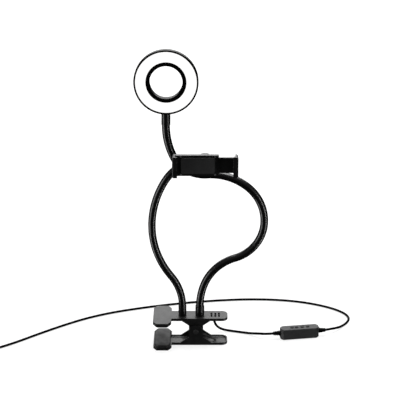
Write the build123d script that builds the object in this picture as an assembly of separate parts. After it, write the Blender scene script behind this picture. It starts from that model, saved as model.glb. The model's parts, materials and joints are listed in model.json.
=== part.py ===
from build123d import *
from math import cos, degrees, pi, radians, sin, tan
import os

# Clip-on ring light: a spring clamp carries two goosenecks. One holds an LED ring, the other a phone holder.
# Millimetres, +Z up, +X to the right of a viewer in front (who looks along +Y).
# The origin is on the underside of the lower jaw, below the clamp's pivot.

# ---------------------------------------------------------------- driving dimensions

# Clamp
CLAMP_HEIGHT = 41.0
JAW_DEPTH = 22.4              # of the narrow arm, along Y
JAW_WALL = 1.8
JAW_RIM = 3.8                 # outer height of the tray that each arm is
ARM_FLOOR_FILLET = 1.8
PAD_RIM = 4.4                 # the same, at the pad plate
PAD_LEFT, PAD_RIGHT = -58.4, -33.6
PAD_DEPTH = 52.0
PAD_CUT = (4.6, 6.6)                  # how far each corner is cut back, along X and Y
HANDLE_END = 43.2
HANDLE_FILLET = 8.0
PAD_WALL = 1.2
RUBBER_INSET = 1.5                    # from the pad plate's edge
RUBBER_PROUD = 3.1
RUBBER_FILLET = 3.6
WEB_WIDE, WEB_NARROW = 20.8, 9.8      # half widths of the X-shaped side webs
WEB_FLARE = 8.0                       # height over which a web narrows
WEB_GAP = 0.3
PIN_D = 4.0
PIN_CLEARANCE = 0.05                  # radial, in the upper jaw's webs
GRIP_SLOTS = [21.3, 26.5, 31.5]
SLOT_SIZE = (2.5, 12.0)
SPRING_WIRE, SPRING_MEAN_D, SPRING_HALF = 1.4, 8.6, 5.4
SPRING_UP, SPRING_DOWN = (18.8, 4.7), (27.0, 1.5)    # where its legs end: X, and Y to either side

# Goosenecks: a bend is (length along the neck, turn in degrees, roll of the turning axis in degrees)
RING_NECK_D = 10.5
HOLDER_NECK_D = 10.0
RING_ARM_X, HOLDER_ARM_X = 5.3, -18.5
ARM_FOOT_Z = 43.0                     # where the sleeves start, inside their ferrules
ARM_BEND_Z = 55.4                     # where the first bend starts
RING_BENDS = [(32.0, 21.5, -11.5), (58.5, 52.5, -1.0), (66.5, -71.0, 0.0), (57.5, -54.0, 2.5),
              (57.0, -44.0, 9.0), (52.0, 71.0, 22.0), (49.5, 30.4, -14.0)]
HOLDER_BENDS = [(48.5, -37.5, 1.0), (72.0, 35.0, 1.0), (72.5, 33.0, -1.0), (45.5, 39.0, 1.5),
                (31.5, 86.5, 97.5)]
BALL_GAP = 0.15                       # between a link's hollow start and the sleeve's radius
BALL_STEP = 0.06                      # by which a link's ball end is smaller than the sleeve
FERRULE_D, FERRULE_TOP = 12.2, 55.4
HOLDER_FERRULE_D = 10.9
STUD_D = 6.0
LEAD_BORE = 3.2

# Ring head
RING_R = 41.4
HOLE_R = 21.0
BEZEL_R = 26.0                        # inner edge of the lit face
RIM_WALL = 2.3
RING_DEPTH = 12.0
RING_FLOOR = 1.8
STEM_LENGTH, STEM_D, STEM_SOCKET = 14.5, 11.6, 9.0
LED_COUNT, LED_R = 36, 32.4
LED_SIZE = (3.5, 2.8, 0.7)

# Phone holder, in its own frame: x across, y up the phone, z towards the phone, 0 at the ball
BALL_R = 6.5
NECK_R = 2.5
STUD_SOCKET = 8.0
BALL_OFFSET = 22.0                    # from the gooseneck's last bend to the ball
HOLDER_HALF_H = 13.0
HOLDER_BACK, HOLDER_FRONT = 8.0, 16.0
BODY_LEFT, BODY_RIGHT = -40.8, 17.0
JAW_INNER = 35.8                      # half the width of the phone that it holds
JAW_THICK = 3.2
GRIP_PAD = 1.8
LIP_BACK, LIP_FRONT, LIP_REACH = 26.3, 28.4, 1.2
SLIDER_HALF_W = 9.7

# Cord and controller
CORD_D = 3.4
CORD_R = CORD_D / 2
CTRL_L, CTRL_W, CTRL_H = 54.0, 13.0, 15.8
CTRL_CENTRE = (143.8, 10.9)
CTRL_YAW = 8.0
CTRL_WALL = 1.6
CTRL_CUT = 3.4                        # of its upright corners
CTRL_SPLIT = 9.4                      # height of the joint between base and lid
BUTTON_X = [-10.6, -4.4, 3.8, 11.6]
BUTTON_SIZE = (4.2, 3.2)
BUTTON_TRAVEL = 0.5
RELIEF_L = 10.0
RELIEF_Z = 8.4
GLAND_START, GLAND_END = (24.3, 3.2, 36.2), (24.3, 12.0, 30.7)
BOSS_LEFT, BOSS_RIGHT = 19.9, 33.6     # of the block that holds the gland
COIL_CENTRE = (-300.0, -12.0)
COIL_MEAN_R = 20.0
COIL_WIDE, COIL_HIGH, COIL_BASE = 10.4, 6.8, 0.6
TIE, TIE_WIDTH = 0.5, 8.0
PLUG_AT = (-323.0, 18.0)              # where the cord enters the plug's grip
PLUG_YAW = 90.0
PLUG_Z = 4.0
GRIP_L, GRIP_W, GRIP_H = 20.0, 15.4, 8.0
SHELL_L, SHELL_W, SHELL_H, SHELL_T = 14.0, 12.0, 4.5, 0.4

# Routes of the free cord, from end to end
CORD_A = [GLAND_END, (24.4, 16.2, 28.1), (25.2, 20.6, 20.0), (28.2, 24.4, 10.4), (35.8, 27.0, 3.2),
          (49.5, 25.0, 1.7), (65.0, 20.8, 1.7), (77.0, 16.2, 2.6), (88.0, 9.8, 6.0), (98.0, 4.9, 8.1)]
CORD_B = [(193.0, 23.0, 6.6), (205.0, 35.6, 2.3), (215.5, 49.0, 1.7), (220.5, 62.5, 1.7), (215.0, 77.0, 1.7),
          (200.0, 91.0, 1.7), (178.0, 103.0, 1.7), (150.0, 113.0, 1.7), (115.0, 118.8, 1.7), (76.0, 120.0, 1.7),
          (36.0, 116.8, 1.7), (-6.0, 110.5, 1.7), (-48.0, 101.5, 1.7), (-88.0, 90.5, 1.7), (-126.0, 77.5, 1.7),
          (-160.0, 60.5, 1.7), (-192.0, 38.5, 1.7), (-222.0, 15.0, 1.7), (-246.0, -5.0, 1.7),
          (-267.0, -20.5, 1.9), (-286.0, -30.6, 2.3)]
CORD_TAIL = [(-321.6, -16.0, 5.4), (-323.2, -6.0, 5.0), (-323.0, 6.0, 4.0), (-323.0, 18.0, 4.0)]

os.makedirs("parts", exist_ok=True)
written = {}


def save(name, shape):
    """Write one node, as a single solid or as a group of separate solids."""
    solids = shape.solids() if hasattr(shape, "solids") else ShapeList(shape)
    body = solids[0] if len(solids) == 1 else Compound(children=list(solids))
    body.label = name
    export_step(body, f"parts/{name}.step")
    written[name] = body


def box(x0, x1, y0, y1, z0, z1):
    """A box between two corners."""
    return Pos((x0 + x1) / 2, (y0 + y1) / 2, (z0 + z1) / 2) * Box(x1 - x0, y1 - y0, z1 - z0)


def rod(a, b, radius, end_radius=None):
    """A round bar or cone from point a to point b."""
    a, b = Vector(*a), Vector(*b)
    length = (b - a).length
    start = Plane(origin=a, z_dir=b - a)
    align = (Align.CENTER, Align.CENTER, Align.MIN)
    if end_radius is None:
        return start * Cylinder(radius, length, align=align)
    return start * Cone(radius, end_radius, length, align=align)


def tube(a, b, outer, inner):
    """A straight pipe from a to b, open at both ends."""
    return rod(a, b, outer) - rod(a, b, inner)


def ring_of(outer, inner, z0, z1):
    """A flat ring about the local Z axis."""
    solid = Pos(0, 0, (z0 + z1) / 2) * Cylinder(outer, z1 - z0)
    return solid - Pos(0, 0, (z0 + z1) / 2) * Cylinder(inner, z1 - z0 + 1)


# ---------------------------------------------------------------- clamp

MID_Z = CLAMP_HEIGHT / 2


def jaw_outline(inset):
    """Plan of a jaw: an eight-sided pad plate and a narrow arm with a rounded end."""
    x, y = (PAD_RIGHT - PAD_LEFT) / 2, PAD_DEPTH / 2
    cut_x, cut_y = x - PAD_CUT[0], y - PAD_CUT[1]
    plate = make_face(Polyline((cut_x, y), (x, cut_y), (x, -cut_y), (cut_x, -y), (-cut_x, -y), (-x, -cut_y),
                               (-x, cut_y), (-cut_x, y), (cut_x, y)))
    plate = offset(plate, -inset) if inset else plate
    arm_left = PAD_RIGHT - 4
    arm = Rectangle(HANDLE_END - inset - arm_left, JAW_DEPTH - 2 * inset)
    end = arm.vertices().sort_by(Axis.X)[-2:]
    rounded = fillet(end, HANDLE_FILLET - inset)
    plate_x = (PAD_LEFT + PAD_RIGHT) / 2
    arm_x = (arm_left + HANDLE_END - inset) / 2
    return Pos(plate_x, 0) * plate, Pos(arm_x, 0) * rounded


def jaw_tray():
    """One jaw's tray, lying open side up on Z = 0."""
    plate, arm = jaw_outline(0)
    outer = extrude(plate, PAD_RIM) + extrude(arm, JAW_RIM)
    plate_hollow = extrude(jaw_outline(PAD_WALL)[0], PAD_RIM)
    arm_hollow = extrude(jaw_outline(JAW_WALL)[1], PAD_RIM)
    arm_hollow = fillet(arm_hollow.faces().sort_by(Axis.Z)[0].edges(), ARM_FLOOR_FILLET)
    return outer - Pos(0, 0, JAW_WALL) * (plate_hollow + arm_hollow)


def web_plate(y0, y1, foot_z):
    """A side web that flares out at its foot and ends round above the pivot."""
    outline = make_face(Polyline(
        (-WEB_WIDE, foot_z), (WEB_WIDE, foot_z), (WEB_WIDE, JAW_RIM), (WEB_NARROW, JAW_RIM + WEB_FLARE),
        (WEB_NARROW, MID_Z), (-WEB_NARROW, MID_Z), (-WEB_NARROW, JAW_RIM + WEB_FLARE), (-WEB_WIDE, JAW_RIM),
        (-WEB_WIDE, foot_z)))
    profile = outline + Pos(0, MID_Z) * Circle(WEB_NARROW)
    upright = Plane(origin=(0, y0, 0), x_dir=(1, 0, 0), z_dir=(0, -1, 0)) * profile
    return extrude(upright, -(y1 - y0))


def webs(inner, outer, foot_z, hole_d):
    """A pair of side webs, front and back, with the pivot hole through them."""
    pair = web_plate(-outer, -inner, foot_z) + web_plate(inner, outer, foot_z)
    return pair - rod((0, -outer - 1, MID_Z), (0, outer + 1, MID_Z), hole_d / 2)


def rubber_pad():
    """A rubber pad for a tray lying open side up, with a soft upper edge."""
    plate = jaw_outline(RUBBER_INSET)[0]
    outline = fillet(plate.vertices(), RUBBER_FILLET)
    pad = extrude(outline, PAD_RIM + RUBBER_PROUD - JAW_WALL)
    pad = fillet(pad.faces().sort_by(Axis.Z)[-1].edges(), 1.2)
    return Pos(0, 0, JAW_WALL) * pad


def upside_down(shape):
    """The same piece, mirrored through the clamp's middle height."""
    return Pos(0, 0, MID_Z) * (mirror(Pos(0, 0, -MID_Z) * shape, about=Plane.XY))


def hexagon_nut(x, across_flats, height, bore):
    """A nut under the upper jaw's top plate."""
    top = CLAMP_HEIGHT - JAW_WALL
    blank = extrude(RegularPolygon(across_flats / 2, 6, major_radius=False), -height)
    return Pos(x, 0, top) * (blank - Pos(0, 0, -height / 2) * Cylinder(bore / 2, height + 1))


def arm_ferrule(x, outer_d, neck_d):
    """The cup that a gooseneck stands in, with a threaded stud through the top plate."""
    cup = rod((x, 0, CLAMP_HEIGHT), (x, 0, FERRULE_TOP), outer_d / 2)
    cup -= rod((x, 0, ARM_FOOT_Z), (x, 0, FERRULE_TOP + 1), neck_d / 2 + 0.05)
    stud = rod((x, 0, CLAMP_HEIGHT - JAW_WALL - 3.6), (x, 0, CLAMP_HEIGHT), STUD_D / 2)
    return cup + stud - rod((x, 0, 20), (x, 0, ARM_FOOT_Z + 1), LEAD_BORE / 2)


def build_clamp():
    inner_web = JAW_DEPTH / 2 - JAW_WALL - WEB_GAP
    lower = jaw_tray() + webs(JAW_DEPTH / 2 - JAW_WALL, JAW_DEPTH / 2, JAW_WALL, PIN_D)
    save("lower_jaw", lower)
    save("lower_pad", rubber_pad())

    upper = jaw_tray() + webs(inner_web - JAW_WALL, inner_web, JAW_WALL - 0.5, PIN_D + 2 * PIN_CLEARANCE)
    upper = upside_down(upper)
    top = CLAMP_HEIGHT
    for x in (RING_ARM_X, HOLDER_ARM_X):
        upper -= rod((x, 0, top - JAW_WALL - 1), (x, 0, top + 1), STUD_D / 2 + 0.05)
    gx, gy, gz = GLAND_START
    boss = box(BOSS_LEFT, BOSS_RIGHT, gy - 1.0, gy + 4.0, gz - 6.2, top - JAW_WALL + 0.5)
    upper += boss - rod(GLAND_START, GLAND_END, 2.9)
    for x in GRIP_SLOTS:
        slot = SlotOverall(SLOT_SIZE[1], SLOT_SIZE[0], rotation=90)
        upper -= Pos(x, 0, top - JAW_WALL) * extrude(slot, JAW_WALL + 1)
    save("upper_jaw", upper)
    save("upper_pad", upside_down(rubber_pad()))

    save("ring_arm_ferrule", arm_ferrule(RING_ARM_X, FERRULE_D, RING_NECK_D))
    save("holder_arm_ferrule", arm_ferrule(HOLDER_ARM_X, HOLDER_FERRULE_D, HOLDER_NECK_D))
    save("arm_nuts", [hexagon_nut(x, 10.0, 3.0, STUD_D + 0.04).solid() for x in (RING_ARM_X, HOLDER_ARM_X)])

    half = JAW_DEPTH / 2
    pin = rod((0, -half, MID_Z), (0, half + 1.2, MID_Z), PIN_D / 2)
    pin += rod((0, -half - 0.9, MID_Z), (0, -half, MID_Z), 3.4)
    save("pivot_pin", fillet(pin.edges().sort_by(Axis.Y)[0], 0.4))
    save("pivot_clip", tube((0, half, MID_Z), (0, half + 0.8, MID_Z), 3.6, PIN_D / 2 + 0.01))

    coil = tube((0, -SPRING_HALF, MID_Z), (0, SPRING_HALF, MID_Z),
                (SPRING_MEAN_D + SPRING_WIRE) / 2, (SPRING_MEAN_D - SPRING_WIRE) / 2)
    wire, reach = SPRING_WIRE / 2, SPRING_MEAN_D / 2
    floor = JAW_WALL + wire + 0.1
    for side in (-1, 1):
        up_y, down_y = side * SPRING_UP[1], side * SPRING_DOWN[1]
        coil += rod((-reach * 0.6, up_y, MID_Z + reach * 0.8), (SPRING_UP[0], up_y, top - floor), wire)
        coil += rod((-reach * 0.6, down_y, MID_Z - reach * 0.8), (SPRING_DOWN[0], down_y, floor), wire)
    coil += rod((SPRING_DOWN[0], -SPRING_DOWN[1], floor), (SPRING_DOWN[0], SPRING_DOWN[1], floor), wire)
    save("torsion_spring", coil)


# ---------------------------------------------------------------- goosenecks

def turned(vector, axis, angle):
    """A vector turned about a unit axis, in radians."""
    along = axis * axis.dot(vector)
    return (vector - along) * cos(angle) + axis.cross(vector) * sin(angle) + along


def follow(x, bends):
    """Stations along a neck that starts upright: point, direction, and the two axes it can bend about."""
    point, ahead = Vector(x, 0, ARM_BEND_Z), Vector(0, 0, 1)
    flat, deep = Vector(0, 1, 0), Vector(1, 0, 0)
    stations = [(point, ahead, flat, deep, None)]
    for length, turn, roll in bends:
        angle = radians(turn)
        axis = flat * cos(radians(roll)) + deep * sin(radians(roll))
        centre = point + axis.cross(ahead) * (length / angle)
        point = centre + turned(point - centre, axis, angle)
        ahead, flat, deep = (turned(v, axis, angle) for v in (ahead, flat, deep))
        stations.append((point, ahead, flat, deep, (centre, axis, turn)))
    return stations


def neck_link(start, end, radius, first_z=None, end_straight=0.0):
    """One link between two joints: hollowed at its start, and a ball or straight at its end."""
    point, ahead = start[0], start[1]
    centre, axis, turn = end[4]
    if turn < 0:
        axis, turn = axis * -1, -turn
    section = Plane(origin=point, z_dir=ahead) * Circle(radius)
    link = revolve(section, axis=Axis(centre, axis), revolution_arc=turn)
    if first_z is None:
        link -= Pos(*point) * Sphere(radius + BALL_GAP)
    else:
        link += rod((point.X, point.Y, first_z), point, radius)
    last = Plane(origin=end[0], z_dir=end[1])
    if end_straight:
        link += last * Cylinder(radius, end_straight, align=(Align.CENTER, Align.CENTER, Align.MIN))
    else:
        link += last * Sphere(radius - BALL_STEP, arc_size1=-20)
    return link


def build_arm(name, stations, radius, end_straight):
    """All the links of one gooseneck, from the clamp outwards."""
    count = len(stations) - 1
    for i in range(count):
        first = ARM_FOOT_Z if i == 0 else None
        straight = end_straight if i == count - 1 else 0.0
        save(f"{name}_{i + 1}", neck_link(stations[i], stations[i + 1], radius, first, straight))


# ---------------------------------------------------------------- ring head

def build_ring(end):
    """The LED ring. Its local frame has z out of the lit face and y up, away from the stem."""
    point, up = end[0], end[1]
    front = Vector(0, -1, 0)
    front = (front - up * front.dot(up)).normalized()
    reach = RING_R + STEM_LENGTH
    middle = point + up * reach + front * (RING_DEPTH / 2)
    head = Plane(origin=middle, x_dir=up.cross(front), z_dir=front)
    floor_z = -RING_DEPTH + RING_FLOOR

    shell = ring_of(RING_R, HOLE_R, -RING_DEPTH, 0) - ring_of(RING_R - RIM_WALL, HOLE_R + 1.6, floor_z, 1)
    shell -= ring_of(HOLE_R + 1.7, HOLE_R - 1, -1.5, 1)
    back = shell.faces().filter_by(Axis.Z).sort_by(Axis.Z)[0].edges()
    shell = fillet(back.sort_by(SortBy.LENGTH)[-1], 2.6)
    stem_z = -RING_DEPTH / 2
    stud_r, stud_in = 2.6, RING_R - 3.4
    shell -= rod((0, -RING_R - 1, stem_z), (0, -stud_in, stem_z), stud_r + 0.02)
    for angle in range(45, 360, 90):
        spot = Pos(28.6 * cos(radians(angle)), 28.6 * sin(radians(angle)), floor_z)
        shell += spot * extrude(Circle(2.0), 0.4)

    bezel = ring_of(BEZEL_R, HOLE_R, -1.5, 0) + ring_of(HOLE_R + 2.8, HOLE_R + 1.65, -5.0, -1.5)
    bezel = chamfer(bezel.edges().filter_by(GeomType.CIRCLE).sort_by(Axis.Z)[-2:], 0.35)
    save("inner_bezel", head * bezel)

    lens = ring_of(RING_R - RIM_WALL - 0.03, BEZEL_R + 0.03, -2.4, -0.5)
    save("diffuser", head * lens)

    board_low = floor_z + 0.4
    board = ring_of(38.4, 26.4, board_low, board_low + 1.2)
    screws = []
    for angle in range(45, 360, 90):
        spot = Pos(28.6 * cos(radians(angle)), 28.6 * sin(radians(angle)), board_low)
        board -= spot * Cylinder(0.82, 6)
        screw = spot * (Pos(0, 0, 0.4) * Cylinder(0.8, 1.6) + Pos(0, 0, 1.6) * Cylinder(1.5, 0.8))
        screws.append(screw.solid())
        shell -= spot * Cylinder(0.8, 1.0)
    save("led_board", head * board)
    save("board_screws", [head * s for s in screws])
    save("ring_housing", head * shell)

    leds = []
    for i in range(LED_COUNT):
        turn = Rot(0, 0, 360 * (i + 0.5) / LED_COUNT)
        leds.append(head * (turn * (Pos(0, LED_R, board_low + 1.2 + LED_SIZE[2] / 2) * Box(*LED_SIZE))))
    save("leds", leds)

    stem = rod((0, -RING_R + 0.1, stem_z), (0, -reach, stem_z), STEM_D / 2)
    stem -= Pos(0, 0, stem_z) * Cylinder(RING_R + 0.02, 40)
    stem += rod((0, -RING_R - 1, stem_z), (0, -stud_in, stem_z), stud_r)
    stem -= rod((0, -reach - 1, stem_z), (0, -reach + STEM_SOCKET, stem_z), RING_NECK_D / 2 + 0.05)
    stem -= rod((0, -reach, stem_z), (0, -stud_in + 1, stem_z), 1.2)
    save("ring_stem", head * stem)
    return head


# ---------------------------------------------------------------- phone holder

def holder_screws():
    """Places of the four cover screws, in the holder's x and y."""
    return [(x, y) for x in (-30.0, 12.5) for y in (-HOLDER_HALF_H + 1.6, HOLDER_HALF_H - 1.6)]


def jaw_blade(side):
    """A hooked jaw that reaches round the phone's edge. Side is -1 for left and 1 for right."""
    outer = JAW_INNER + GRIP_PAD + JAW_THICK
    h = HOLDER_HALF_H
    profile = make_face(Polyline(
        (outer, HOLDER_BACK), (outer, LIP_FRONT - 1.2), (outer - 1.2, LIP_FRONT),
        (JAW_INNER - LIP_REACH, LIP_FRONT), (JAW_INNER - LIP_REACH, LIP_BACK),
        (JAW_INNER + GRIP_PAD, LIP_BACK), (JAW_INNER + GRIP_PAD, HOLDER_BACK), (outer, HOLDER_BACK)))
    upright = Plane(origin=(0, h, 0), x_dir=(1, 0, 0), z_dir=(0, -1, 0)) * profile
    blade = extrude(upright, 2 * h)
    corners = blade.edges().filter_by(Axis.Z).sort_by(Axis.X)[-2:]
    blade = chamfer(corners, 1.6)
    return blade if side > 0 else mirror(blade, about=Plane.YZ)


def build_holder(end):
    point, front = end[0], end[1]
    up = Vector(0, 0, 1)
    up = (up - front * up.dot(front)).normalized()
    place = Plane(origin=point + front * BALL_OFFSET, x_dir=up.cross(front), z_dir=front)
    neck_end = -BALL_OFFSET + STUD_SOCKET + 1.6

    stud = Sphere(BALL_R) + rod((0, 0, neck_end), (0, 0, -4), NECK_R)
    stud += rod((0, 0, -BALL_OFFSET), (0, 0, neck_end), HOLDER_FERRULE_D / 2)
    stud -= rod((0, 0, -BALL_OFFSET - 1), (0, 0, -BALL_OFFSET + STUD_SOCKET), HOLDER_NECK_D / 2 + 0.05)
    save("ball_stud", place * stud)

    liner = Sphere(BALL_R + 1.5) - Sphere(BALL_R + 0.1) - box(-20, 20, -20, 20, -20, 1.0)
    save("ball_liner", place * liner)

    boss_r = 9.5
    nut = ring_of(12.2, boss_r + 0.15, -2.2, 5.4) + ring_of(12.2, 1.0, -5.2, -2.2)
    nut -= Sphere(BALL_R + 0.1)
    nut -= rod((0, 0, -2.0), (0, 0, -7.0), 4.4, 9.0)
    nut = chamfer(nut.edges().filter_by(GeomType.CIRCLE).group_by(Axis.Z)[0].sort_by(SortBy.LENGTH)[-1], 1.0)
    for i in range(12):
        groove = Rot(0, 0, 30 * i) * (Pos(12.9, 0, 0) * Cylinder(1.3, 30))
        nut -= groove
    save("lock_nut", place * nut)

    h = HOLDER_HALF_H
    split = HOLDER_FRONT - 1.6
    body = box(BODY_LEFT + JAW_THICK, BODY_RIGHT, -h, h, HOLDER_BACK, split)
    body -= box(-34.0, BODY_RIGHT + 1, -h + 3, h - 3, HOLDER_BACK + 1.8, split + 1)
    body += Pos(0, 0, HOLDER_BACK / 2) * Cylinder(boss_r, HOLDER_BACK)
    body -= Sphere(BALL_R + 1.6)
    body += jaw_blade(-1)
    cover = box(BODY_LEFT + JAW_THICK + GRIP_PAD, BODY_RIGHT, -h, h, split, HOLDER_FRONT)
    screws = []
    for x, y in holder_screws():
        body -= rod((x, y, split - 4.2), (x, y, split + 1), 0.72)
        cover -= rod((x, y, split - 1), (x, y, split + 3), 0.78)
        cover -= rod((x, y, HOLDER_FRONT - 0.9), (x, y, HOLDER_FRONT + 1), 1.35)
        screw = rod((x, y, split - 4), (x, y, HOLDER_FRONT - 0.9), 0.7)
        screw += rod((x, y, HOLDER_FRONT - 0.9), (x, y, HOLDER_FRONT - 0.1), 1.3)
        screws.append((place * screw).solid())
    save("holder_body", place * body)
    save("holder_cover", place * cover)
    save("cover_screws", screws)

    pad_low, pad_high = HOLDER_FRONT + 0.3, LIP_BACK - 0.3
    pad = box(-JAW_INNER - GRIP_PAD, -JAW_INNER, -h + 1.2, h - 1.2, pad_low, pad_high)
    save("fixed_jaw_pad", place * pad)
    save("slider_pad", place * mirror(pad, about=Plane.YZ))
    rest = extrude(fillet(Rectangle(42, 20).vertices(), 3), 1.6)
    save("back_pad", place * (Pos(-9.0, 0, HOLDER_FRONT) * rest))

    plate_low, plate_high = HOLDER_BACK + 2.1, split - 0.3
    w = SLIDER_HALF_W
    slider = box(-14.0, JAW_INNER + GRIP_PAD + 0.5, -w, w, plate_low, plate_high)
    slider -= box(-15.0, 2.0, -5.0, 5.0, plate_low - 1, plate_high + 1)
    slider += jaw_blade(1)
    save("slider", place * slider)

    mid = (plate_low + plate_high) / 2
    spring = tube((-33.9, 0, mid), (1.9, 0, mid), 1.8, 1.2)
    save("slide_spring", place * spring)
    return place


# ---------------------------------------------------------------- cord, controller and plug

def cord_tube(name, points):
    """A round cord along straight runs joined by the largest tangent arcs that the runs allow."""
    points = [Vector(*p) for p in points]
    radii = []
    for before, at, after in zip(points, points[1:], points[2:]):
        turn = radians((at - before).get_angle(after - at))
        shorter = min((at - before).length, (after - at).length)
        radii.append(0.45 * shorter / tan(turn / 2))
    path = FilletPolyline(*points, radius=radii)
    section = Plane(origin=points[0], z_dir=points[1] - points[0]) * Circle(CORD_R)
    solid = sweep(section, path=path)
    expected = pi * CORD_R ** 2 * path.length
    print(f"{name}: length {path.length:.1f}, volume {solid.volume:.0f} of {expected:.0f}, "
          f"least radius {min(radii):.1f}")
    return solid


def relief(length):
    """A ribbed strain relief along +X from the origin, with the cord's bore through it."""
    body = rod((0, 0, 0), (length, 0, 0), 2.7, CORD_R + 0.45)
    for i in range(4):
        x = 1.2 + i * length * 0.24
        body += rod((x, 0, 0), (x + 1.2, 0, 0), 3.6 - i * 0.25)
    return body


def build_controller():
    frame = Pos(*CTRL_CENTRE, 0) * Rot(0, 0, CTRL_YAW)
    outline = chamfer(Rectangle(CTRL_L, CTRL_W).vertices(), CTRL_CUT)
    inner = offset(outline, -CTRL_WALL)
    base = extrude(outline, CTRL_SPLIT) - Pos(0, 0, CTRL_WALL) * extrude(inner, CTRL_H)
    base = chamfer(base.faces().sort_by(Axis.Z)[0].edges(), 1.0)
    lid = Pos(0, 0, CTRL_SPLIT) * extrude(outline, CTRL_H - CTRL_SPLIT)
    lid = fillet(lid.faces().sort_by(Axis.Z)[-1].edges(), 1.1)
    lid -= Pos(0, 0, CTRL_SPLIT - 1) * extrude(inner, CTRL_H - CTRL_SPLIT - CTRL_WALL + 1)
    half = CTRL_L / 2
    for side in (-1, 1):
        bore = rod((side * (half - 3), 0, RELIEF_Z), (side * (half + 1), 0, RELIEF_Z), 2.2)
        base -= bore
        lid -= bore
    board_z = 10.0
    bw, bd = BUTTON_SIZE
    for x in BUTTON_X:
        lid -= Pos(x, 0, CTRL_H) * Box(bw + 0.4, bd + 0.4, 8)
    screw_x = half - 6.0
    screws = []
    for side in (-1, 1):
        post = Pos(side * screw_x, 0, 0)
        base += post * (Pos(0, 0, (board_z - 1.6) / 2) * Cylinder(2.0, board_z - 1.6))
        base -= post * Cylinder(0.9, 40)
        base -= rod((side * screw_x, 0, -1), (side * screw_x, 0, 1.0), 1.8)
        screw = rod((side * screw_x, 0, 0.2), (side * screw_x, 0, 1.0), 1.7)
        screw += rod((side * screw_x, 0, 1.0), (side * screw_x, 0, board_z + 0.6), 0.8)
        screws.append((frame * screw).solid())
    board = box(-half + 4, half - 4, -CTRL_W / 2 + 2.2, CTRL_W / 2 - 2.2, board_z - 1.6, board_z)
    for side in (-1, 1):
        board -= Pos(side * screw_x, 0, 0) * Cylinder(0.9, 40)
    save("controller_base", frame * base)
    save("controller_lid", frame * lid)
    save("controller_board", frame * board)
    save("controller_screws", screws)
    reliefs = []
    for side in (-1, 1):
        boot = relief(RELIEF_L) + rod((-3.0, 0, 0), (0, 0, 0), 2.1)
        placed = Pos(side * half, 0, RELIEF_Z) * (boot if side > 0 else Rot(0, 0, 180) * boot)
        reliefs.append((frame * placed).solid())
    save("controller_reliefs", reliefs)
    for i, x in enumerate(BUTTON_X):
        cap = Pos(x, 0, CTRL_H + BUTTON_TRAVEL + 0.2) * extrude(fillet(Rectangle(bw, bd).vertices(), 0.9), -2.6)
        flange = Pos(x, 0, CTRL_H - CTRL_WALL - 0.3) * extrude(Rectangle(bw + 1.6, bd + 1.6), -0.7)
        save(f"button_{i + 1}", frame * (cap + flange))
    return frame, reliefs


def build_cord():
    gland = rod(GLAND_START, GLAND_END, 2.85, 2.3)
    save("cord_gland", gland)
    gx, gy, gz = GLAND_START
    lead = [(RING_ARM_X, 0, 35.4), (RING_ARM_X + 0.6, 0, 31.2), (11.0, -0.4, 29.6), (17.4, -1.6, 32.4),
            (gx, -2.6, gz + 1.0), (gx, gy - 1.05, gz + 1.0)]
    path = FilletPolyline(*[Vector(*p) for p in lead], radius=[1.8, 6.0, 14.0, 2.2])
    section = Plane(origin=lead[0], z_dir=Vector(*lead[1]) - Vector(*lead[0])) * Circle(1.3)
    save("inner_lead", sweep(section, path=path))

    frame, reliefs = build_controller()
    left = frame * Pos(-CTRL_L / 2 - RELIEF_L, 0, RELIEF_Z)
    right = frame * Pos(CTRL_L / 2 + RELIEF_L, 0, RELIEF_Z)
    boots = Compound(reliefs)
    save("cord_to_controller", cord_tube("cord_to_controller", CORD_A + [tuple(left.position)]) - boots - gland)

    cx, cy = COIL_CENTRE
    lift = COIL_BASE + COIL_HIGH / 2
    section = RectangleRounded(COIL_WIDE, COIL_HIGH, 1.6)
    ring_section = Plane.XZ * (Pos(COIL_MEAN_R, lift) * section)
    coil = Pos(cx, cy) * revolve(ring_section, axis=Axis.Z, revolution_arc=360)
    save("cord_coil", coil)
    main = cord_tube("cord_main", [tuple(right.position)] + CORD_B)
    save("cord_main", main - coil - boots)
    save("cord_tail", cord_tube("cord_tail", CORD_TAIL) - coil)

    band = RectangleRounded(COIL_WIDE + 2 * TIE + 0.1, COIL_HIGH + 2 * TIE + 0.1, 2.0)
    band -= RectangleRounded(COIL_WIDE + 0.1, COIL_HIGH + 0.1, 1.65)
    around = degrees(TIE_WIDTH / COIL_MEAN_R)
    strap = revolve(Plane.XZ * (Pos(COIL_MEAN_R, lift) * band), axis=Axis.Z, revolution_arc=around)
    save("cord_tie", Pos(cx, cy) * Rot(0, 0, 80) * strap)


def build_plug():
    """A USB-A plug that lies flat: grip, metal shell and contact tongue."""
    place = Pos(*PLUG_AT, PLUG_Z) * Rot(0, 0, PLUG_YAW)
    grip = extrude(Plane.YZ * RectangleRounded(GRIP_W, GRIP_H, 2.2), GRIP_L)
    grip -= box(GRIP_L - 4, GRIP_L + 1, -SHELL_W / 2, SHELL_W / 2, -SHELL_H / 2, SHELL_H / 2)
    save("usb_plug_grip", place * grip)
    x0, x1 = GRIP_L - 4, GRIP_L - 4 + SHELL_L
    shell = box(x0, x1, -SHELL_W / 2, SHELL_W / 2, -SHELL_H / 2, SHELL_H / 2)
    t = SHELL_T
    shell -= box(x0 + t, x1 + 1, -SHELL_W / 2 + t, SHELL_W / 2 - t, -SHELL_H / 2 + t, SHELL_H / 2 - t)
    save("usb_plug_shell", place * shell)
    tongue = box(x0 + t, x1 - 0.8, -SHELL_W / 2 + t, SHELL_W / 2 - t, -SHELL_H / 2 + t, -SHELL_H / 2 + t + 1.8)
    save("usb_plug_tongue", place * tongue)


ring_stations = follow(RING_ARM_X, RING_BENDS)
holder_stations = follow(HOLDER_ARM_X, HOLDER_BENDS)


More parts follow.
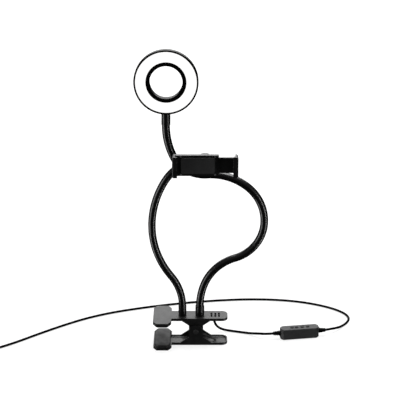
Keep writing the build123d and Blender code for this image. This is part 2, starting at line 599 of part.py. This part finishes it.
def main():
    build_clamp()
    build_arm("ring_neck", ring_stations, RING_NECK_D / 2, STEM_SOCKET)
    build_arm("holder_neck", holder_stations, HOLDER_NECK_D / 2, STUD_SOCKET)
    build_ring(ring_stations[-1])
    build_holder(holder_stations[-1])
    build_cord()
    build_plug()


main()
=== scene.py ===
import json
from math import cos, pi, radians, sin
import bpy
from mathutils import Matrix, Vector


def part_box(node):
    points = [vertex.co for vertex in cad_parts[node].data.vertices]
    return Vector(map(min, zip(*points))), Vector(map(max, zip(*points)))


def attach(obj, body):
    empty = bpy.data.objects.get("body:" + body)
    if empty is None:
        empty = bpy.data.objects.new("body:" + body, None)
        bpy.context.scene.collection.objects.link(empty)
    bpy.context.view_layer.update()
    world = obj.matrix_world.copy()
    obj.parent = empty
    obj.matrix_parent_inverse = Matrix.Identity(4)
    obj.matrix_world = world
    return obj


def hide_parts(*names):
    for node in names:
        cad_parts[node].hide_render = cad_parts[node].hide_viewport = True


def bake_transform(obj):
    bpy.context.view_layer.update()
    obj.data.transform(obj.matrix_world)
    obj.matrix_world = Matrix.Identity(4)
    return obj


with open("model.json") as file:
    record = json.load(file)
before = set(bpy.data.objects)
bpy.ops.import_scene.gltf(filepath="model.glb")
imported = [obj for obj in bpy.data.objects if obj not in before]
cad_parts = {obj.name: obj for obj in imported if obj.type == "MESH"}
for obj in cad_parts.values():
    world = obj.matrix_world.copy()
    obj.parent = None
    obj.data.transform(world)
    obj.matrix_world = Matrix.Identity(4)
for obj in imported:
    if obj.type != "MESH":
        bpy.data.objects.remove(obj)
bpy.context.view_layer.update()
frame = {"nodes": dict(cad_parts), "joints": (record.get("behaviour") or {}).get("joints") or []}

# Shapes are given in millimetres and degrees, and camera, floor, lights and materials in metres
MM = 0.001


def metres(lengths):
    return [c * MM for c in lengths]


# ---------------------------------------------------------------- camera

CAMERA_TARGET = (0.00548, 0.0, 0.21127)   # the middle of the light
CAMERA_DISTANCE = 1.4
CAMERA_RAISED = 22.5                      # degrees above the horizon
CAMERA_LENS = 96.18
SENSOR_WIDTH = 36.0


def add_camera():
    """A camera in front, raised, that looks down at the middle of the light."""
    raised = radians(CAMERA_RAISED)
    data = bpy.data.cameras.new("camera")
    data.lens = CAMERA_LENS
    data.sensor_width = SENSOR_WIDTH
    camera = bpy.data.objects.new("camera", data)
    away = Vector((0, -cos(raised), sin(raised)))
    camera.location = Vector(CAMERA_TARGET) + away * CAMERA_DISTANCE
    camera.rotation_euler = (pi / 2 - raised, 0, 0)
    bpy.context.scene.collection.objects.link(camera)
    bpy.context.scene.camera = camera


add_camera()


# ---------------------------------------------------------------- cords

CORD_D = 3.4
GLAND_END = (24.3, 12.0, 30.7)
CTRL_CENTRE = (143.8, 10.9)
CTRL_YAW = 8.0
CTRL_REACH = 37.0                  # from the controller's middle to the end of a strain relief
RELIEF_Z = 8.4
COIL_CENTRE = (-300.0, -12.0)
COIL_MEAN_R = 20.0
COIL_START_ANGLE = -53.5
COIL_TURNS = 5.35
TURN_POINTS = 24
LANE = 3.44                        # between neighbouring turns
LANE_CHANGE = 0.16                 # share of a lane's course spent moving to the next lane
LAYERS = (2.3, 5.7)                # heights of the coil's two layers

# From the gland under the clamp's handle, down behind the clamp and along the table to the controller
CORD_A = [
    GLAND_END, (24.4, 16.2, 28.1), (25.2, 20.6, 20.0), (28.2, 24.4, 10.4), (35.8, 27.0, 3.2),
    (49.5, 25.0, 1.7), (65.0, 20.8, 1.7), (77.0, 16.2, 2.6), (88.0, 9.8, 6.0), (98.0, 4.9, 8.1)]
# From the controller round the right, behind the clamp and out to the coil on the left
CORD_B = [
    (193.0, 23.0, 6.6), (205.0, 35.6, 2.3), (215.5, 49.0, 1.7), (220.5, 62.5, 1.7), (215.0, 77.0, 1.7),
    (200.0, 91.0, 1.7), (178.0, 103.0, 1.7), (150.0, 113.0, 1.7), (115.0, 118.8, 1.7), (76.0, 120.0, 1.7),
    (36.0, 116.8, 1.7), (-6.0, 110.5, 1.7), (-48.0, 101.5, 1.7), (-88.0, 90.5, 1.7), (-126.0, 77.5, 1.7),
    (-160.0, 60.5, 1.7), (-192.0, 38.5, 1.7), (-222.0, 15.0, 1.7), (-246.0, -5.0, 1.7), (-267.0, -20.5, 1.9)]
# From the coil to the plug
CORD_TAIL = [(-323.3, -6.0, 5.0), (-323.0, 6.0, 4.0), (-323.0, 20.0, 4.0)]


def controller_end(side):
    """Where the cord meets the end of a strain relief of the controller."""
    yaw = radians(CTRL_YAW)
    x = CTRL_CENTRE[0] + side * CTRL_REACH * cos(yaw)
    y = CTRL_CENTRE[1] + side * CTRL_REACH * sin(yaw)
    return (x, y, RELIEF_Z)


def smooth(x):
    """An even start and stop between 0 and 1."""
    x = min(max(x, 0.0), 1.0)
    return x * x * (3 - 2 * x)


def coil_points():
    """Turns wound inwards on the bottom layer, then outwards on the top one."""
    lanes = [(1, 0), (0, 0), (-1, 0), (-1, 1), (0, 1), (1, 1)]     # lanes out from the mean radius, and layer
    inward = cos(pi / TURN_POINTS)     # the spline's radius over that of its control points
    steps = round(COIL_TURNS * TURN_POINTS)
    points = []
    for i in range(steps + 1):
        turn = i / steps * COIL_TURNS
        at = turn / COIL_TURNS * len(lanes)
        k = min(int(at), len(lanes) - 1)
        share = smooth((at - k - 1) / LANE_CHANGE + 1) if k + 1 < len(lanes) else 0.0
        now, then = lanes[k], lanes[min(k + 1, len(lanes) - 1)]
        radius = COIL_MEAN_R + LANE * (now[0] + (then[0] - now[0]) * share)
        angle = radians(COIL_START_ANGLE - 360 * turn)
        x = COIL_CENTRE[0] + radius / inward * cos(angle)
        y = COIL_CENTRE[1] + radius / inward * sin(angle)
        z = LAYERS[0] + (LAYERS[1] - LAYERS[0]) * (now[1] + (then[1] - now[1]) * share)
        points.append((x, y, z))
    return points


def cord_curve(name, points):
    """
    A round cord on one smooth spline with these control points, in millimetres.
    The points hold the cord's radius, and the bevel is 1, so the curve's bounding box is its true size.
    """
    data = bpy.data.curves.new(name, "CURVE")
    data.dimensions = "3D"
    spline = data.splines.new("NURBS")
    spline.points.add(len(points) - 1)
    for target, point in zip(spline.points, points):
        target.co = (*metres(point), 1)
        target.radius = CORD_D * MM / 2
    spline.order_u = 3
    spline.use_endpoint_u = True
    spline.resolution_u = 6
    data.bevel_depth = 1.0
    data.bevel_resolution = 5
    data.use_fill_caps = True
    cord = bpy.data.objects.new(name, data)
    bpy.context.scene.collection.objects.link(cord)
    return cord


def add_cords():
    """The cord from the clamp to the controller, and the one from the controller to the plug."""
    lead = cord_curve("lead_cord", CORD_A + [controller_end(-1)])
    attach(lead, "upper_clamp")
    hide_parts("cord_to_controller")
    usb = cord_curve("usb_cord", [controller_end(1)] + CORD_B + coil_points() + CORD_TAIL)
    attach(usb, "upper_clamp")
    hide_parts("cord_main", "cord_coil", "cord_tail")
    return [lead, usb]


cords = add_cords()


# ---------------------------------------------------------------- materials

NOISE_RANGE = (0.3, 0.7)      # the part of a noise's values that tones and roughness are spread over
BUMP_STRENGTH = 0.5
EDGE_RANGE = (0.995, 0.8)     # how far the rounded and the flat normal agree, near an edge and on it
RUBBED = 1.6                  # how much lighter a rubbed edge is


def new_material(name):
    """A material, its node tree and its shader."""
    made = bpy.data.materials.new(name)
    made.use_nodes = True
    return made, made.node_tree, made.node_tree.nodes["Principled BSDF"]


def noise(tree, scale, detail):
    """A noise texture in the object's own coordinates."""
    coords = tree.nodes.new("ShaderNodeTexCoord")
    texture = tree.nodes.new("ShaderNodeTexNoise")
    texture.inputs["Scale"].default_value = scale
    texture.inputs["Detail"].default_value = detail
    tree.links.new(coords.outputs["Object"], texture.inputs["Vector"])
    return texture.outputs["Fac"]


def map_range(tree, value, start, end, low, high):
    """A value between start and end, carried over to the range from low to high."""
    node = tree.nodes.new("ShaderNodeMapRange")
    node.inputs["From Min"].default_value = start
    node.inputs["From Max"].default_value = end
    node.inputs["To Min"].default_value = low
    node.inputs["To Max"].default_value = high
    tree.links.new(value, node.inputs["Value"])
    return node.outputs["Result"]


def two_tone(tree, value, dark, light):
    """A colour between two tones by a noise value."""
    ramp = tree.nodes.new("ShaderNodeValToRGB")
    for stop, place, tone in zip(ramp.color_ramp.elements, NOISE_RANGE, (dark, light)):
        stop.position = place
        stop.color = (*tone, 1)
    tree.links.new(value, ramp.inputs["Fac"])
    return ramp.outputs["Color"]


def bump(tree, shader, height, distance, normal):
    """Relief of a height in metres, on top of the normal that is given."""
    node = tree.nodes.new("ShaderNodeBump")
    node.inputs["Strength"].default_value = BUMP_STRENGTH
    node.inputs["Distance"].default_value = distance
    tree.links.new(height, node.inputs["Height"])
    tree.links.new(normal, node.inputs["Normal"])
    tree.links.new(node.outputs["Normal"], shader.inputs["Normal"])


def edges(tree, radius):
    """A normal that rounds every edge off, and how near the surface is to an edge."""
    rounded = tree.nodes.new("ShaderNodeBevel")
    rounded.samples = 4
    rounded.inputs["Radius"].default_value = radius
    flat = tree.nodes.new("ShaderNodeNewGeometry")
    dot = tree.nodes.new("ShaderNodeVectorMath")
    dot.operation = "DOT_PRODUCT"
    tree.links.new(rounded.outputs["Normal"], dot.inputs[0])
    tree.links.new(flat.outputs["Normal"], dot.inputs[1])
    near_edge = map_range(tree, dot.outputs["Value"], *EDGE_RANGE, 0.0, 1.0)
    return rounded.outputs["Normal"], near_edge


def blend_colour(tree, share, first, second):
    """The first colour, turning to the second by a share from 0 to 1."""
    mix = tree.nodes.new("ShaderNodeMix")
    mix.data_type = "RGBA"
    tree.links.new(share, mix.inputs["Factor"])
    tree.links.new(first, mix.inputs["A"])
    mix.inputs["B"].default_value = (*second, 1)
    return mix.outputs["Result"]


def moulded(name, tone, roughness, level=0.5, grain=2500.0, relief=0.00003, vary=0.25, patch=70.0,
            metallic=0.0, edge=0.0003):
    """
    A moulded, drawn or plated surface: patchy tone and roughness, fine grain, edges rounded and rubbed.
    Grain and patch are noise scales, relief is the grain's height and edge the edges' radius in metres,
    and vary is how far the tone wanders to either side.
    """
    made, tree, shader = new_material(name)
    shader.inputs["Specular IOR Level"].default_value = level
    shader.inputs["Metallic"].default_value = metallic
    dark = [c * (1 - vary) for c in tone]
    light = [min(c * (1 + vary), 1.0) for c in tone]
    rubbed = [min(c * RUBBED, 1.0) for c in tone]
    normal, near_edge = edges(tree, edge)
    tones = two_tone(tree, noise(tree, patch, 3.0), dark, light)
    colour = blend_colour(tree, near_edge, tones, rubbed)
    tree.links.new(colour, shader.inputs["Base Color"])
    patches = noise(tree, patch * 2.3, 2.0)
    rough = map_range(tree, patches, *NOISE_RANGE, roughness * 0.9, roughness * 1.1)
    tree.links.new(rough, shader.inputs["Roughness"])
    bump(tree, shader, noise(tree, grain, 3.0), relief, normal)
    return made


def milky_diffuser():
    """Frosted white acrylic, lit from behind by a ring of LEDs."""
    made = moulded("diffuser_milky", (0.25, 0.25, 0.25), 0.5, level=0.1, grain=1500.0, relief=0.00002,
                   vary=0.03)
    shader = made.node_tree.nodes["Principled BSDF"]
    shader.inputs["Emission Color"].default_value = (1.0, 0.995, 0.985, 1)
    shader.inputs["Emission Strength"].default_value = 1.0
    return made


def hook_and_loop():
    """Black hook-and-loop strap: a fuzzy pile with sheen."""
    made = moulded("tie_fabric", (0.012, 0.012, 0.012), 0.9, level=0.2, grain=4500.0, relief=0.0002,
                   vary=0.5, patch=900.0)
    shader = made.node_tree.nodes["Principled BSDF"]
    shader.inputs["Sheen Weight"].default_value = 0.25
    shader.inputs["Sheen Roughness"].default_value = 0.5
    return made


def black(value):
    """A near-black tone, a touch cooler than grey."""
    return (value, value, value * 1.03)


CLAMP = moulded("clamp_moulded", black(0.005), 0.42, level=0.5, grain=1800.0, relief=0.00004)
RUBBER = moulded("pad_rubber", black(0.012), 0.6, level=0.42, grain=2600.0, relief=0.00005)
FERRULE = moulded("ferrule_satin", black(0.002), 0.33, level=0.4)
SLEEVE = moulded("sleeve_pvc", black(0.002), 0.27, level=0.5, grain=1400.0, relief=0.00003)
BLACK_STEEL = moulded("black_oxide_steel", black(0.02), 0.38, level=0.6, grain=900.0, relief=0.00001)
STEEL = moulded("zinc_steel", (0.55, 0.55, 0.57), 0.34, metallic=1.0, grain=900.0, relief=0.00001,
                vary=0.12)
RING = moulded("ring_satin", black(0.002), 0.34, level=0.03, edge=0.0002)
DIFFUSER = milky_diffuser()
BOARD = moulded("board_white", (0.8, 0.82, 0.79), 0.45, vary=0.05)
LED = moulded("led_phosphor", (0.85, 0.72, 0.25), 0.3, vary=0.1)
HOLDER = moulded("holder_satin", black(0.004), 0.38, level=0.35, grain=2000.0, relief=0.00004)
BALL = moulded("ball_hard", black(0.01), 0.28, level=0.5)
SHEATH = moulded("cord_pvc", black(0.002), 0.4, level=0.02, grain=1600.0, relief=0.00003)
TIE = hook_and_loop()
CONTROLLER = moulded("controller_moulded", black(0.02), 0.45, level=0.25, grain=2200.0, relief=0.00005)
KEY = moulded("key_rubber", black(0.005), 0.6, level=0.2)
NICKEL = moulded("plug_nickel", (0.62, 0.61, 0.6), 0.22, metallic=1.0, grain=700.0, relief=0.000006,
                 vary=0.06)
TONGUE = moulded("plug_tongue_white", (0.82, 0.82, 0.8), 0.4, vary=0.03)

NODE_MATERIALS = [
    (CLAMP, ("upper_jaw", "lower_jaw")),
    (RUBBER, ("upper_pad", "lower_pad", "fixed_jaw_pad", "slider_pad", "back_pad")),
    (FERRULE, ("ring_arm_ferrule", "holder_arm_ferrule", "ring_stem")),
    (BLACK_STEEL, ("pivot_pin", "pivot_clip")),
    (STEEL, ("arm_nuts", "board_screws", "cover_screws", "controller_screws")),
    (RING, ("ring_housing", "inner_bezel")),
    (DIFFUSER, ("diffuser",)),
    (BOARD, ("led_board", "controller_board")),
    (LED, ("leds",)),
    (HOLDER, ("holder_body", "holder_cover", "slider", "lock_nut")),
    (BALL, ("ball_stud", "ball_liner")),
    (SHEATH, ("cord_gland", "inner_lead", "controller_reliefs", "usb_plug_grip")),
    (TIE, ("cord_tie",)),
    (CONTROLLER, ("controller_base", "controller_lid")),
    (KEY, ("button_1", "button_2", "button_3", "button_4")),
    (NICKEL, ("usb_plug_shell",)),
    (TONGUE, ("usb_plug_tongue",)),
]


def paint(obj, material):
    """Give an object a material, through its own slots where it has any."""
    if obj.material_slots:
        for held in obj.material_slots:
            held.link = "OBJECT"
            held.material = material
    else:
        obj.data.materials.append(material)


for material, names in NODE_MATERIALS:
    for name in names:
        paint(frame["nodes"][name], material)
for cord in cords:
    paint(cord, SHEATH)


# ---------------------------------------------------------------- meshes

SHARP_ANGLE = 40.0


def new_mesh(name, verts, faces, material):
    """A closed mesh, smooth except at its sharp edges."""
    data = bpy.data.meshes.new(name)
    data.from_pydata([tuple(v) for v in verts], [], faces)
    data.validate()
    data.shade_smooth()
    data.set_sharp_from_angle(angle=radians(SHARP_ANGLE))
    made = bpy.data.objects.new(name, data)
    bpy.context.scene.collection.objects.link(made)
    paint(made, material)
    return made


def sweep(name, stations, radius, sides, material):
    """A round bar through stations, each a point and two axes across it."""
    verts, faces = [], []
    for point, across, over in stations:
        for i in range(sides):
            angle = 2 * pi * i / sides
            verts.append(point + (across * cos(angle) + over * sin(angle)) * radius)
    for k in range(len(stations) - 1):
        for i in range(sides):
            j = (i + 1) % sides
            a, b = k * sides, (k + 1) * sides
            faces.append((a + i, a + j, b + j, b + i))
    faces.append(tuple(reversed(range(sides))))
    last = (len(stations) - 1) * sides
    faces.append(tuple(range(last, last + sides)))
    return new_mesh(name, verts, faces, material)


def carried(points):
    """Stations along points, with axes that turn as little as they can."""
    points = [Vector(p) for p in points]
    ahead = [(b - a).normalized() for a, b in zip(points, points[1:])]
    ahead = [ahead[0]] + [(a + b).normalized() for a, b in zip(ahead, ahead[1:])] + [ahead[-1]]
    across = ahead[0].orthogonal().normalized()
    stations = []
    for i, point in enumerate(points):
        across = (across - ahead[i] * across.dot(ahead[i])).normalized()
        stations.append((point, across, ahead[i].cross(across)))
    return stations


# ---------------------------------------------------------------- clamp pads

PAD_CUT = (3.8, 5.6)          # what a cut corner takes off the width and the depth
CORNER_REACH = 1.92           # how far the rounding of a corner reaches
CORNER_SHARE = 0.48           # the most that it takes of a side
CORNER_STEPS = 5
PAD_EDGE = 1.4                # radius of the edge round the pad's face
EDGE_STEPS = 6
PAD_CROWN = 0.45              # how far the middle of the face stands above its edge
CROWN_POWER = 2.5
CROWN_SHARES = (0.08, 0.18, 0.3, 0.45, 0.6, 0.75, 0.9)


def pad_loop(half_x, half_y):
    """The outline of a pad: a rectangle with its corners cut and rounded."""
    cut_x, cut_y = metres(PAD_CUT)
    quarter = [(half_x - cut_x, half_y), (half_x, half_y - cut_y)]
    corners = quarter + [(x, -y) for x, y in reversed(quarter)]
    corners += [(-x, -y) for x, y in quarter] + [(-x, y) for x, y in reversed(quarter)]
    corners = [Vector(c) for c in corners]
    loop = []
    for i, at in enumerate(corners):
        before = corners[i - 1] - at
        after = corners[(i + 1) % len(corners)] - at
        reach = min(CORNER_REACH * MM, min(before.length, after.length) * CORNER_SHARE)
        start = at + before.normalized() * reach
        end = at + after.normalized() * reach
        for k in range(CORNER_STEPS + 1):
            t = k / CORNER_STEPS
            loop.append(start * (1 - t) ** 2 + at * 2 * t * (1 - t) + end * t * t)
    return loop


def pad_profile(half_x, thick):
    """Each loop of a pad from its back to its face, as how far it is drawn in and how high it is."""
    edge, crown = PAD_EDGE * MM, PAD_CROWN * MM
    shoulder = thick - crown
    profile = [(0.0, 0.0), (0.0, shoulder - edge)]
    for k in range(1, EDGE_STEPS + 1):
        angle = pi / 2 * k / EDGE_STEPS
        profile.append((edge * (1 - cos(angle)), shoulder - edge + edge * sin(angle)))
    for share in CROWN_SHARES:
        rise = shoulder + crown * (1 - (1 - share) ** CROWN_POWER)
        profile.append((edge + (half_x - edge) * share, rise))
    return profile


def add_pad(name, node, body, face):
    """A clamp's rubber pad, crowned and with a rounded edge, facing up if face is 1 and down if it is -1."""
    low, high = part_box(node)
    middle, half = (low + high) / 2, (high - low) / 2
    loop = pad_loop(half.x, half.y)
    profile = pad_profile(half.x, 2 * half.z)
    verts, faces = [], []
    for inset, rise in profile:
        for point in loop:
            x = point.x * (1 - inset / half.x)
            y = point.y * (1 - inset / half.y)
            verts.append(middle + Vector((x, y, face * (rise - half.z))))
    count = len(loop)
    for a in range(0, (len(profile) - 1) * count, count):
        for i in range(count):
            j = (i + 1) % count
            faces.append((a + i, a + count + i, a + count + j, a + j))
    faces += [tuple(range(count)), tuple(reversed(range(len(verts) - count, len(verts))))]
    if face < 0:
        faces = [f[::-1] for f in faces]
    pad = new_mesh(name, verts, faces, RUBBER)
    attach(pad, body)
    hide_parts(node)


add_pad("upper_rubber", "upper_pad", "upper_clamp", -1)
add_pad("lower_rubber", "lower_pad", "lower_clamp", 1)


# ---------------------------------------------------------------- goosenecks

RING_NECK_D = 10.5
HOLDER_NECK_D = 10.0
# Each bend: length along the neck, turn, and roll of the turning axis
RING_BENDS = [
    (32.0, 21.5, -11.5), (58.5, 52.5, -1.0), (66.5, -71.0, 0.0), (57.5, -54.0, 2.5),
    (57.0, -44.0, 9.0), (52.0, 71.0, 22.0), (49.5, 30.4, -14.0)]
HOLDER_BENDS = [
    (48.5, -37.5, 1.0), (72.0, 35.0, 1.0), (72.5, 33.0, -1.0), (45.5, 39.0, 1.5), (31.5, 86.5, 97.5)]
SOCKET = 2.0                  # how far a sleeve reaches into its ferrules
STEP = 1.5                    # between the stations along a neck
NECK_SIDES = 32


def neck_stations(foot, bends):
    """Stations along a neck that starts upright, and where in the list each bend starts and the last ends."""
    point, ahead = Vector(foot), Vector((0, 0, 1))
    flat, deep = Vector((0, 1, 0)), Vector((1, 0, 0))
    stations = [(point - ahead * SOCKET * MM, flat, deep), (point.copy(), flat.copy(), deep.copy())]
    starts = [1]
    for length, turn, roll in bends:
        axis = (flat * cos(radians(roll)) + deep * sin(radians(roll))).normalized()
        angle = radians(turn)
        centre = point + axis.cross(ahead) * (length * MM / angle)
        steps = round(length / STEP)
        for i in range(1, steps + 1):
            spin = Matrix.Rotation(angle * i / steps, 3, axis)
            stations.append((centre + spin @ (point - centre), spin @ flat, spin @ deep))
        spin = Matrix.Rotation(angle, 3, axis)
        point = centre + spin @ (point - centre)
        ahead, flat, deep = spin @ ahead, spin @ flat, spin @ deep
        starts.append(len(stations) - 1)
    stations.append((point + ahead * SOCKET * MM, flat, deep))
    return stations, starts


def add_neck(kind, foot, bends, diameter):
    """A gooseneck as sleeves that meet half-way between its joints, each running across one of them."""
    stations, starts = neck_stations(foot, bends)
    joints = [j for j in frame["joints"] if j["name"].startswith(f"{kind}_bend_")]
    middle = [(a + b) // 2 for a, b in zip(starts, starts[1:])]
    for i, joint in enumerate(joints):
        first = 0 if i == 0 else middle[i]
        last = len(stations) - 1 if i == len(joints) - 1 else middle[i + 1]
        sleeve = sweep(f"{kind}_sleeve_{i + 1}", stations[first:last + 1], diameter * MM / 2, NECK_SIDES,
                       SLEEVE)
        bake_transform(sleeve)
        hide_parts(f"{kind}_neck_{i + 1}", f"{kind}_neck_{i + 2}")


def top_middle(node):
    """The middle of the top of a node's box."""
    low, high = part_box(node)
    return Vector(((low.x + high.x) / 2, (low.y + high.y) / 2, high.z))


add_neck("ring", top_middle("ring_arm_ferrule"), RING_BENDS, RING_NECK_D)
add_neck("holder", top_middle("holder_arm_ferrule"), HOLDER_BENDS, HOLDER_NECK_D)


# ---------------------------------------------------------------- springs

CLAMP_WIRE_R = 0.7
CLAMP_COIL_R = 4.3
SPRING_UP = (18.8, 4.7)       # the spring's upper ends: along the handle from the pivot, and to each side
SPRING_DOWN = (27.0, 1.5)     # the ends of its loop below, in the same way
CLAMP_COIL_START = 126.9
CLAMP_COIL_SWEEP = 2 * 360 + 106.2
CLAMP_COIL_STEPS = 80
CLAMP_WIRE_SIDES = 12

SLIDE_HALF = 17.7             # half the tension spring's length
SLIDE_WIRE_R = 0.25
SLIDE_COIL_R = 1.5
SLIDE_TURNS = 30
SLIDE_TURN_STEPS = 14
SLIDE_WIRE_SIDES = 8


def joint_named(name):
    return next(j for j in frame["joints"] if j["name"] == name)


def add_torsion_spring():
    """The clamp's spring: two coils round the pivot pin, two legs above and a loop below."""
    wire, mean = metres((CLAMP_WIRE_R, CLAMP_COIL_R))
    up_x, up_y = metres(SPRING_UP)
    down_x, down_y = metres(SPRING_DOWN)
    pivot = Vector(joint_named("clamp_hinge")["pos_m"])
    low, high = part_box("torsion_spring")
    start, turned = radians(CLAMP_COIL_START), radians(CLAMP_COIL_SWEEP)
    half = [Vector((up_x, -up_y, high.z - wire))]
    for i in range(CLAMP_COIL_STEPS + 1):
        angle = start + turned * i / CLAMP_COIL_STEPS
        y = -up_y + (up_y - down_y) * i / CLAMP_COIL_STEPS
        half.append(Vector((mean * cos(angle), y, pivot.z + mean * sin(angle))))
    half.append(Vector((down_x, -down_y, low.z + wire)))
    points = half + [Vector((p.x, -p.y, p.z)) for p in reversed(half)]
    spring = sweep("clamp_spring", carried(points), wire, CLAMP_WIRE_SIDES, BLACK_STEEL)
    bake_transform(spring)
    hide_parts("torsion_spring")


def add_slide_spring():
    """The tension spring that pulls the phone holder's moving jaw in."""
    along = Vector(joint_named("jaw_slide")["axis"]).normalized()
    across = along.orthogonal().normalized()
    over = along.cross(across)
    low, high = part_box("slide_spring")
    middle = (low + high) / 2
    half, wire, mean = metres((SLIDE_HALF, SLIDE_WIRE_R, SLIDE_COIL_R))
    steps = SLIDE_TURNS * SLIDE_TURN_STEPS
    points = []
    for i in range(steps + 1):
        angle = 2 * pi * i / SLIDE_TURN_STEPS
        shift = half * (2 * i / steps - 1)
        points.append(middle + along * shift + (across * cos(angle) + over * sin(angle)) * mean)
    spring = sweep("jaw_spring", carried(points), wire, SLIDE_WIRE_SIDES, STEEL)
    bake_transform(spring)
    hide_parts("slide_spring")


add_torsion_spring()
add_slide_spring()


# ---------------------------------------------------------------- floor and light

FLOOR_HALF = 12.0
FLOOR_DROP = 0.0002           # keeps the floor just under what lies on the table
ROOM_LOW = 0.004              # the room's light below the horizon, and well above it
ROOM_HIGH = 0.16


def add_floor():
    """A pale floor that glows by itself, so that shadows on it are faint. It lights nothing else."""
    made, tree, shader = new_material("floor_pale")
    shader.inputs["Roughness"].default_value = 0.9
    shader.inputs["Specular IOR Level"].default_value = 0.0
    shader.inputs["Base Color"].default_value = (0.24, 0.24, 0.24, 1)
    shader.inputs["Emission Color"].default_value = (1, 1, 1, 1)
    shader.inputs["Emission Strength"].default_value = 0.75
    corners = [(x * FLOOR_HALF, y * FLOOR_HALF, 0) for x, y in ((-1, -1), (1, -1), (1, 1), (-1, 1))]
    data = bpy.data.meshes.new("floor")
    data.from_pydata(corners, [], [(0, 1, 2, 3)])
    data.materials.append(made)
    floor = bpy.data.objects.new("floor", data)
    floor.location.z = -FLOOR_DROP
    floor.visible_diffuse = False
    floor.visible_glossy = False
    floor.visible_shadow = False
    bpy.context.scene.collection.objects.link(floor)


def add_area(name, place, aim, size, power):
    """A rectangular light that is aimed at a point and isn't seen itself."""
    data = bpy.data.lights.new(name, "AREA")
    data.shape = "RECTANGLE"
    data.size, data.size_y = size
    data.energy = power
    light = bpy.data.objects.new(name, data)
    light.location = place
    light.rotation_euler = (Vector(aim) - Vector(place)).to_track_quat("-Z", "Y").to_euler()
    light.visible_camera = False
    bpy.context.scene.collection.objects.link(light)


def add_world():
    """White to the camera past the floor's edge. To all else, a room that is dark below and soft above."""
    world = bpy.data.worlds.new("studio")
    bpy.context.scene.world = world
    world.use_nodes = True
    tree = world.node_tree
    room = tree.nodes["Background"]
    room.inputs["Color"].default_value = (1, 1, 1, 1)
    coords = tree.nodes.new("ShaderNodeTexCoord")
    split = tree.nodes.new("ShaderNodeSeparateXYZ")
    tree.links.new(coords.outputs["Generated"], split.inputs[0])
    strength = map_range(tree, split.outputs["Z"], -0.1, 0.6, ROOM_LOW, ROOM_HIGH)
    tree.links.new(strength, room.inputs["Strength"])
    seen = tree.nodes.new("ShaderNodeBackground")
    seen.inputs["Color"].default_value = (1, 1, 1, 1)
    path = tree.nodes.new("ShaderNodeLightPath")
    mix = tree.nodes.new("ShaderNodeMixShader")
    tree.links.new(path.outputs["Is Camera Ray"], mix.inputs["Fac"])
    tree.links.new(room.outputs[0], mix.inputs[1])
    tree.links.new(seen.outputs[0], mix.inputs[2])
    tree.links.new(mix.outputs[0], tree.nodes["World Output"].inputs["Surface"])


def add_light():
    """A soft overhead light, a wide one behind for the upward faces, and a low strip at each side."""
    sun = bpy.data.lights.new("overhead", "SUN")
    sun.energy = 5.0
    sun.angle = radians(50)
    light = bpy.data.objects.new("overhead", sun)
    light.rotation_euler = (radians(-12), radians(6), 0)
    bpy.context.scene.collection.objects.link(light)
    add_area("back", place=(0.0, 2.4, 1.0), aim=(0, 0, 0.1), size=(2.6, 1.2), power=32.0)
    add_area("left", place=(-0.95, -0.35, -0.05), aim=(0, 0, 0.15), size=(0.4, 1.3), power=8.0)
    add_area("right", place=(0.85, -0.55, -0.05), aim=(0, 0, 0.15), size=(0.1, 1.3), power=6.0)
    bpy.context.scene.view_settings.view_transform = "Standard"


add_floor()
add_world()
add_light()
